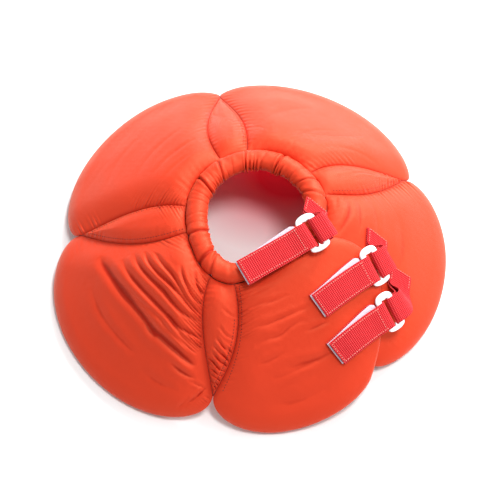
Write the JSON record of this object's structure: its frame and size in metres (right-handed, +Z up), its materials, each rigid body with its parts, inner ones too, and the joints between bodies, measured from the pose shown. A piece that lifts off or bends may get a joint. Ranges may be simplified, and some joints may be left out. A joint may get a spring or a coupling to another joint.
{
  "type": "elizabethan collar",
  "caption": "Soft padded petal cone that stands round a pet's neck so it can't lick a wound, with a gathered neck band and hook-and-loop straps threaded through plastic rings.",
  "frame": {"origin": "middle of the collar's box, on the plane the rim lies on", "axes": "+Z up out of the neck opening, +X to the side where the petals overlap, +Y away from the straps"},
  "size_m": [0.3782, 0.3726, 0.1089],
  "materials": {
    "shell": "satin waterproof nylon",
    "webbing": "ribbed polyester webbing, matte",
    "tape": "hook-and-loop tape, matte",
    "plastic": "moulded, glossy"
  },
  "bodies": {
    "root": {"petal_1": "shell", "petal_2": "shell", "petal_3": "shell", "petal_4": "shell", "petal_5": "shell", "gusset_1": "shell", "gusset_2": "shell", "gusset_3": "shell", "gusset_4": "shell", "neck_band": "shell", "strap_1": "webbing", "hook_strip_1": "tape", "ring_1": "plastic", "tab_1": "webbing", "strap_2": "webbing", "hook_strip_2": "tape", "ring_2": "plastic", "tab_2": "webbing", "strap_3": "webbing", "hook_strip_3": "tape", "ring_3": "plastic", "tab_3": "webbing"}
  },
  "joints": []
}
